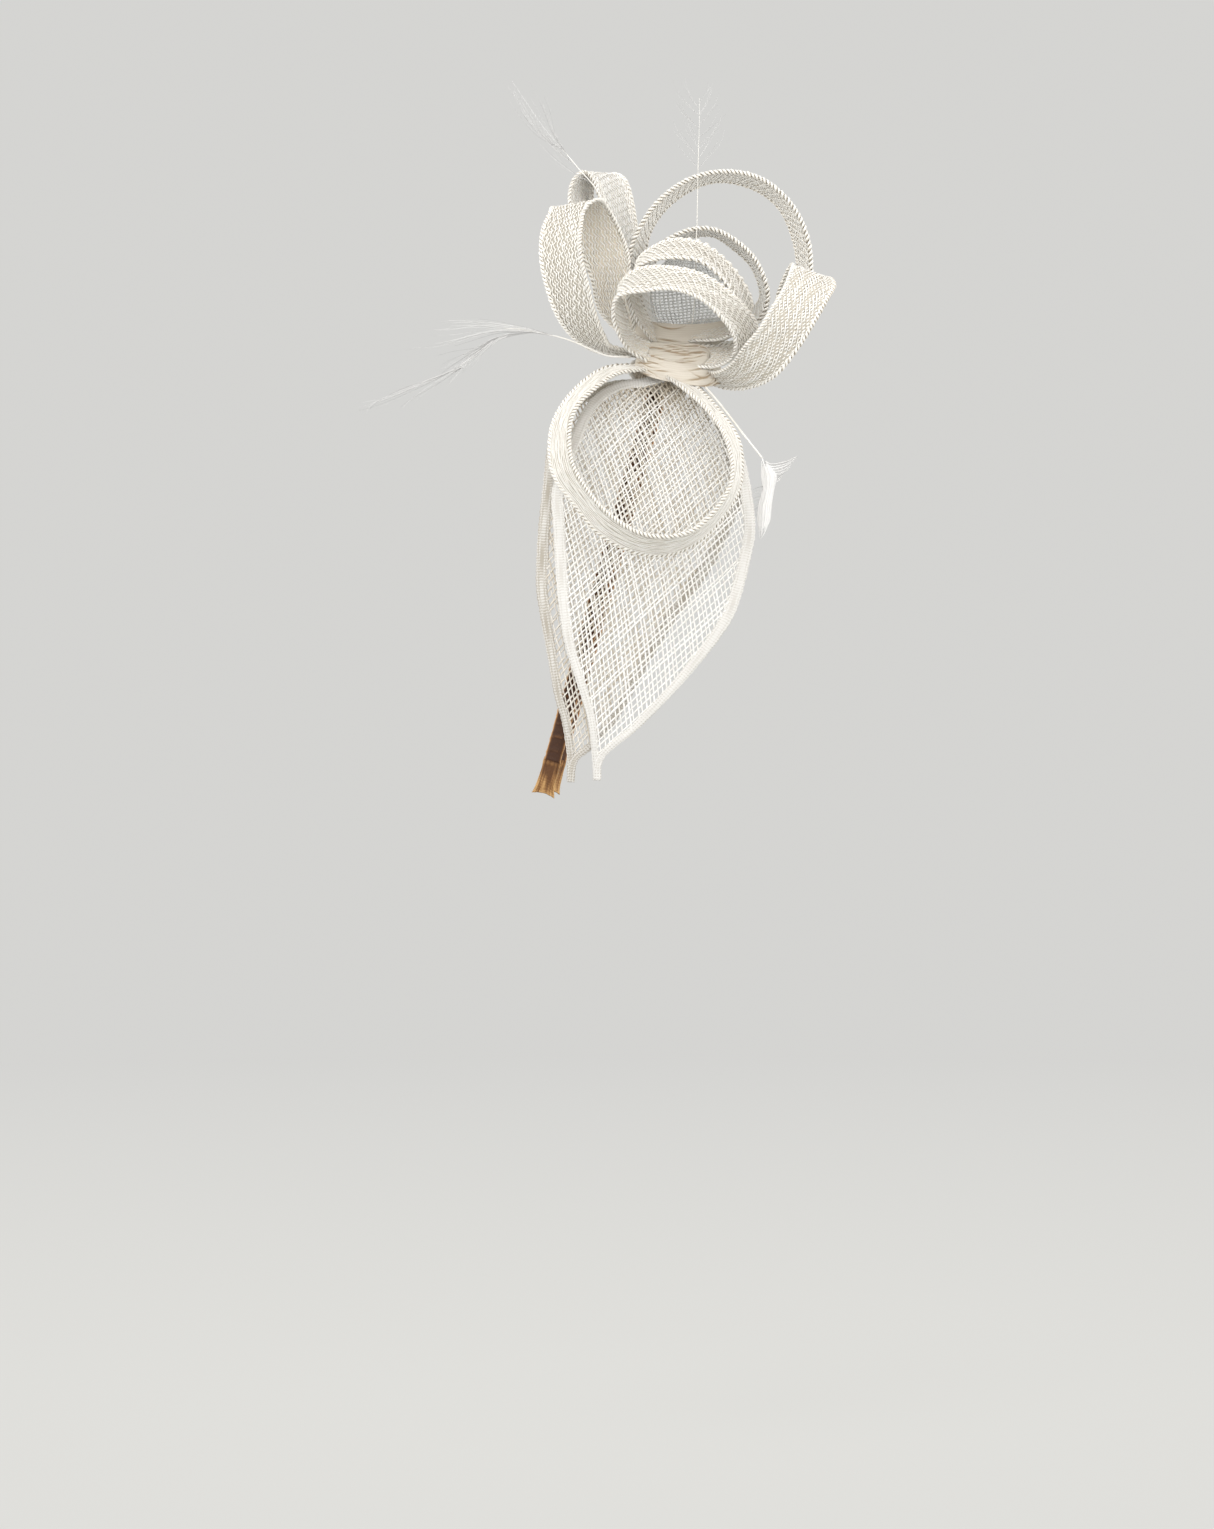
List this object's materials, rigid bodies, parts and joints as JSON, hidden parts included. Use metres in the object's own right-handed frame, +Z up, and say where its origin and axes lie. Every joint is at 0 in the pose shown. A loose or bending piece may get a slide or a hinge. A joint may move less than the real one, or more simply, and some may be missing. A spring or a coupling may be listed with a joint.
{
  "type": "fascinator headpiece",
  "caption": "Bridal fascinator on a satin-covered spring headband: looped straw tape, bound sinamay leaves, a tape ring and stripped feathers sewn to one shoulder.",
  "frame": {"origin": "middle of the headband's flat inner face at the crown", "axes": "+X to the wearer's front, +Y to the wearer's left, +Z up; the band's plane leans back 15.5 degrees from upright"},
  "size_m": [0.1616, 0.174, 0.2452],
  "materials": {
    "ivory_tape": "woven straw tape with a soft sheen, raised braid along its edges",
    "gathered_tape": "the same tape pleated and stitched, shaded in its creases",
    "leaf_binding": "bias strip folded over the leaf's edge and pressed",
    "open_sinamay": "open plain weave of stiff abaca threads, irregular",
    "grey_sinamay": "fine translucent sinamay in shade",
    "stiffened_sinamay": "layers of sinamay glued into a stiff disc",
    "ivory_felt": "thin pressed felt",
    "bronze_satin": "satin ribbon wrapped on the slant, dark bronze with gold highlights",
    "gold_brown_ribbon": "gathered and glued ribbon end",
    "spring_steel": "blank spring strip",
    "feather_shaft": "bare quill, slightly glossy",
    "feather_barbs": "fine loose barbs, nearly see-through"
  },
  "bodies": {
    "band_right_and_trim": {"satin_sleeve_right": "bronze_satin", "band_core_right": "spring_steel", "gathered_end_right": "gold_brown_ribbon", "base_disc": "stiffened_sinamay", "felt_pad": "ivory_felt", "sewn_knot": "gathered_tape", "knot_wrap": "ivory_tape", "back_leaf_binding": "leaf_binding", "back_leaf_mesh": "open_sinamay", "front_leaf_binding": "leaf_binding", "front_leaf_mesh": "open_sinamay", "inner_mesh": "grey_sinamay", "left_loop": "ivory_tape", "left_back_loop": "ivory_tape", "arch_loop": "ivory_tape", "curl_lower": "ivory_tape", "curl_middle": "ivory_tape", "curl_back": "ivory_tape", "right_loop": "ivory_tape", "ring_loop": "ivory_tape"},
    "band_left": {"satin_sleeve_left": "bronze_satin", "band_core_left": "spring_steel", "gathered_end_left": "gold_brown_ribbon"},
    "feather_left": {"quill_left": "feather_shaft", "plume_left": "feather_barbs"},
    "feather_upper_left": {"quill_upper_left": "feather_shaft", "plume_upper_left": "feather_barbs"},
    "feather_upright": {"quill_upright": "feather_shaft", "plume_upright": "feather_barbs"},
    "feather_drop": {"quill_drop": "feather_shaft", "plume_drop": "feather_barbs"}
  },
  "joints": [
    {"name": "band_spread", "type": "hinge", "parent": "band_right_and_trim", "child": "band_left", "pos_m": [0.00035, 0.0055, 0.00125], "axis": [0.9636, 0, -0.2672], "range_deg": [-8, 15], "stiffness_Nm_per_rad": 2, "springref_deg": -8.02},
    {"name": "feather_left_sway", "type": "hinge", "parent": "band_right_and_trim", "child": "feather_left", "pos_m": [-0.0125, -0.0536, -0.003], "axis": [0, 1, 0], "range_deg": [-8, 2], "stiffness_Nm_per_rad": 0.02},
    {"name": "feather_upper_left_sway", "type": "hinge", "parent": "band_right_and_trim", "child": "feather_upper_left", "pos_m": [-0.0065, -0.0345, 0.0055], "axis": [0, 1, 0], "range_deg": [-8, 3], "stiffness_Nm_per_rad": 0.02},
    {"name": "feather_upright_sway", "type": "hinge", "parent": "band_right_and_trim", "child": "feather_upright", "pos_m": [0.0075, -0.046, 0.0048], "axis": [0, 1, 0], "range_deg": [-6, 6], "stiffness_Nm_per_rad": 0.02},
    {"name": "feather_drop_sway", "type": "hinge", "parent": "band_right_and_trim", "child": "feather_drop", "pos_m": [0.011, -0.0575, -0.0118], "axis": [0, 1, 0], "range_deg": [-10, 0], "stiffness_Nm_per_rad": 0.02}
  ]
}
